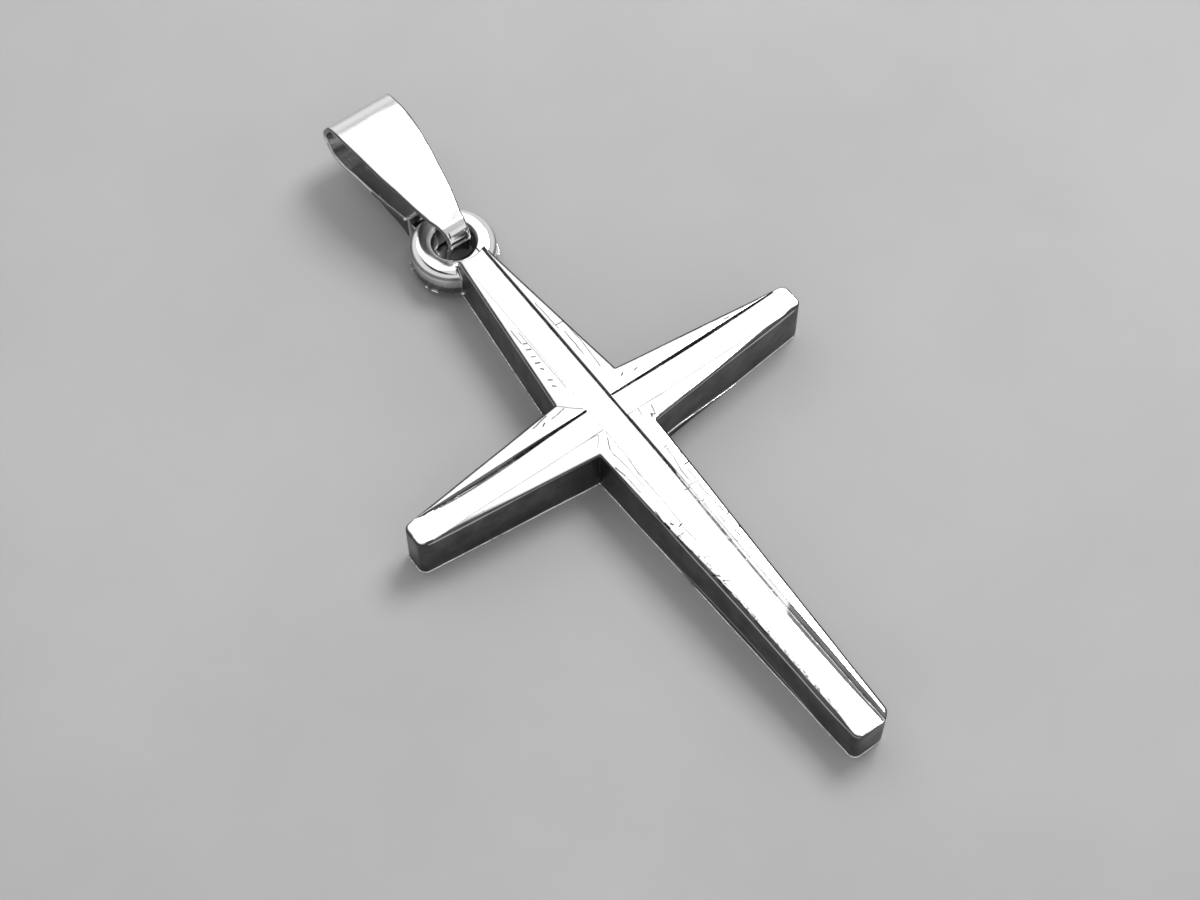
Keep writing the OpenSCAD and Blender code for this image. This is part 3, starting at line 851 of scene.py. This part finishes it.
def cross_painted_shade(p, normals):
    """Painted shade and painted reflections of the cross and its ring."""
    x, y, z = p.T
    in_band = (np.minimum(np.abs(x), np.abs(y)) < BAND_HALF + STEP_NEAR) & (z > STEP_LOW)
    wall = wall_painted_shade(normals, in_band)
    out = np.hypot(x, y - RING_Y)
    beside_head = (np.abs(x) > HEAD_HALF + RING_NEAR) | (y > HEAD_END - HEAD_NEAR)
    on_ring = (out < RING_R + RING_NEAR) & beside_head | (y > RING_Y)
    # Painted reflections down the ring's outside, left off its burr
    outside = ring_painted_reflection(z) * (1 - smooth_share(out - RING_R, *RING_BURR))
    # Painted shade in the bore, deeper on the right
    bore = np.where(x > BORE_SPLIT, BORE_RIGHT, BORE_LEFT) * wall
    ring = np.where(out > RING_R - RING_OUTSIDE, outside, bore)
    return np.where(on_ring, ring, arm_painted_shade(x, y, z, normals, in_band, wall))


# Painted shade on the bail's sheet edges, by the sideways share of the normal, which counts
# for more on the right, and by height
SIDE_DARK, RIGHT_MORE, SIDE_TURN, SIDE_UP = 0.95, 2.4, (0.28, 0.6), (2.2, 2.7)
INNER_DARK, FACET_DARK, FOLD_DARK, HEEL_DARK = 0.5, 0.4, 0.12, 0.92

# The front wall lies above the first height and its facet above the second. The facet
# ends on a slant, and the fold and the heel's sides start at these depths and turns.
FRONT_WALL_Z, FACET_Z = 2, 2.5
FACET_END, FACET_SLANT, FACET_UP = 0.75, 0.5, 0.6
FOLD_START, FOLD_UP = 0.3, 0.1
HEEL_TURN, HEEL_DEPTH, HEEL_SEAM = 0.4, 0.1, 0.15


def bail_painted_shade(p, normals):
    """Painted shade and reflection on the bail: its sheet edges, its inner side, facet, fold and
    heel.
    """
    x, y, z = p.T
    across, up = normals[:, 0], normals[:, 2]
    side = smooth_share(np.maximum(across * RIGHT_MORE, -across), *SIDE_TURN)
    side *= smooth_share(z, *SIDE_UP)
    inner = (up < 0) & (z > FRONT_WALL_Z) | (up > 0) & (z < FRONT_WALL_Z) & (y > HEEL_Y)
    facet = (y > LIP_Y + LIP_BACK) & (y < LIP_Y + FACET_END + FACET_SLANT * x)
    facet &= (up > FACET_UP) & (z > FACET_Z)
    fold = (y > FOLD_Y + FOLD_START) & (up > FOLD_UP) & (z > FRONT_WALL_Z)
    heel = (np.abs(across) > HEEL_TURN) & (z < WALL_Z + SHEET) & (y > HEEL_Y) & (y < HEEL_END)
    heel &= (-plan_distance(y, z, HEEL_SIDE) > HEEL_DEPTH) | (z > WALL_Z - HEEL_SEAM)
    return np.maximum.reduce([SIDE_DARK * side, INNER_DARK * inner, FACET_DARK * facet,
                              FOLD_DARK * fold, HEEL_DARK * heel])


# The cross is painted in tiles, each with a material of its own that holds only the
# marks that reach it: lowest and highest corner
TILES = [((-12, -18), (12, -8.1)), ((-12, -8.1), (12, -6.2)), ((-12, -6.2), (12, -3.6)),
         ((-12, -3.6), (12, -1.7)), ((-12, -1.7), (0, 1.5)), ((0, -1.7), (12, 1.5)),
         ((-12, 1.5), (12, 20))]


def tile_marks(marks, low, high, margin=0.2):
    """Those of the marks that reach into a tile."""
    return [m for m in marks if all(
        min(m[0][k], m[1][k]) < high[k] + margin and max(m[0][k], m[1][k]) > low[k] - margin
        for k in range(2))]


def tile_of(middles):
    """Which tile each face is on."""
    out = np.zeros(len(middles), int)
    for i, (low, high) in enumerate(TILES):
        inside = ((middles[:, :2] >= low) & (middles[:, :2] < high)).all(axis=1)
        out[inside] = i
    return out


# Scratches on the lip of the bail
BAIL_MARKS = [
    ((-0.4, 10.8), (0.2, 10.79), 0.04, 0.2), ((-0.25, 10.88), (0.4, 10.87), 0.04, 0.22),
    ((-0.42, 10.97), (-0.4, 11.07), 0.08, 0.5),
]

cross_silver = [silver(f"cross_silver_{i}", tile_marks(CROSS_MARKS, *tile),
                       tile_marks(BAND_CREASE_SHADE, *tile)) for i, tile in enumerate(TILES)]
bail_silver = [silver("bail_silver", BAIL_MARKS, [])]
dress("cross", cross_surface, voxel=0.12, rounds=2, spread=cross_spread,
      thin=cross_thin, shade_and_tarnish=cross_painted_shade, rim=cross_rim, materials=cross_silver,
      region=tile_of)
dress("bail", bail_surface, voxel=0.08, rounds=1, spread=unchanged,
      thin=all_zero, shade_and_tarnish=bail_painted_shade, rim=all_zero, materials=bail_silver,
      region=all_zero)


# Floor, light and camera

FLOOR_CLOUD, FLOOR_GREYS, FLOOR_ROUGH = (0.05, 4.0, 0.6), (0.36, 0.39), 0.8


def floor_material():
    """Plain pale matt, with slow soft clouds."""
    tree = Tree("pale_floor")
    point = tree.scale(tree.add("TexCoord").outputs["Object"], 1 / MM)
    cloud = tree.noise(point, *FLOOR_CLOUD)
    dark, light = (grey(level) for level in FLOOR_GREYS)
    tree.put(tree.shader.inputs["Base Color"], tree.mix(tree.span(cloud, *CLOUD_SPAN), dark, light))
    tree.put(tree.shader.inputs["Roughness"], FLOOR_ROUGH)
    return tree.material


def make_floor(half=2.0, cells=8):
    """A square floor just under the pendant, from -half to half in metres."""
    bm = bmesh.new()
    bmesh.ops.create_grid(bm, x_segments=cells, y_segments=cells, size=half)
    mesh = bpy.data.meshes.new("floor")
    bm.to_mesh(mesh)
    bm.free()
    mesh.materials.append(floor_material())
    floor = bpy.data.objects.new("floor", mesh)
    floor.location.z = -0.01 * MM
    bpy.context.scene.collection.objects.link(floor)


def hang(name, light, place, turned=(1, 0, 0, 0)):
    """Hangs a light at a place in mm, out of the camera's sight."""
    obj = bpy.data.objects.new(name, light)
    obj.location = Vector(place) * MM
    obj.rotation_mode = "QUATERNION"
    obj.rotation_quaternion = turned
    obj.visible_camera = False
    bpy.context.scene.collection.objects.link(obj)


def softbox(name, low, high, height, power):
    """A flat light at that height over the floor, facing down, from corner to corner in mm."""
    light = bpy.data.lights.new(name, "AREA")
    light.shape = "RECTANGLE"
    light.size, light.size_y = ((b - a) * MM for a, b in zip(low, high))
    light.energy = power
    hang(name, light, ((low[0] + high[0]) / 2, (low[1] + high[1]) / 2, height))


def lamp(name, way, away, size, power):
    """A square light that distance in mm from the crossing, which it faces."""
    light = bpy.data.lights.new(name, "AREA")
    light.size = size * MM
    light.energy = power
    way = Vector(way).normalized()
    hang(name, light, way * away, way.to_track_quat("Z", "Y"))


def make_world(level):
    world = bpy.data.worlds.new("studio")
    world.use_nodes = True
    world.node_tree.nodes["Background"].inputs["Color"].default_value = grey(level)
    bpy.context.scene.world = world


# The camera's angles in degrees, its distance and its aim in mm, and its lens
CAMERA_TURN, CAMERA_RISE = -36.45, 60.61
CAMERA_AWAY = 108.28
CAMERA_AIM = (-0.496, -0.146, 0)
LENS, SENSOR = 75.76, 36


def make_camera():
    data = bpy.data.cameras.new("camera")
    data.lens, data.sensor_width, data.sensor_fit = LENS, SENSOR, "HORIZONTAL"
    data.clip_start, data.clip_end = 1 * MM, 20
    turn_by, rise = math.radians(CAMERA_TURN), math.radians(CAMERA_RISE)
    back = Vector((math.sin(turn_by) * math.cos(rise), -math.cos(turn_by) * math.cos(rise),
                   math.sin(rise)))
    camera = bpy.data.objects.new("camera", data)
    camera.location = (Vector(CAMERA_AIM) + back * CAMERA_AWAY) * MM
    camera.rotation_mode = "QUATERNION"
    camera.rotation_quaternion = (-back).to_track_quat("-Z", "Y")
    bpy.context.scene.collection.objects.link(camera)
    bpy.context.scene.camera = camera


def make_wall(radius=400, rise=42, level=0.45, steps=96):
    """A round pale studio wall, up to that angle over the floor."""
    tree = Tree("pale_wall")
    tree.put(tree.shader.inputs["Base Color"], grey(0.5))
    tree.put(tree.shader.inputs["Emission Color"], grey(level))
    tree.put(tree.shader.inputs["Emission Strength"], 1.0)
    bm = bmesh.new()
    bmesh.ops.create_cone(bm, segments=steps, radius1=radius * MM, radius2=radius * MM,
                          depth=radius * math.tan(math.radians(rise)) * MM)
    mesh = bpy.data.meshes.new("studio_wall")
    bm.to_mesh(mesh)
    bm.free()
    mesh.materials.append(tree.material)
    wall = bpy.data.objects.new("studio_wall", mesh)
    wall.location.z = radius * math.tan(math.radians(rise)) * MM / 2
    bpy.context.scene.collection.objects.link(wall)


make_floor()
make_wall()
softbox("key", low=(-120, 0), high=(170, 300), height=200, power=0.305)
softbox("front_fill", low=(-110, -230), high=(120, -4), height=200, power=0.12)
lamp("side_lamp", way=(0.55, 0.15, 0.82), away=300, size=130, power=0.62)
make_world(0.03)
make_camera()
bpy.context.scene.view_settings.view_transform = "Standard"
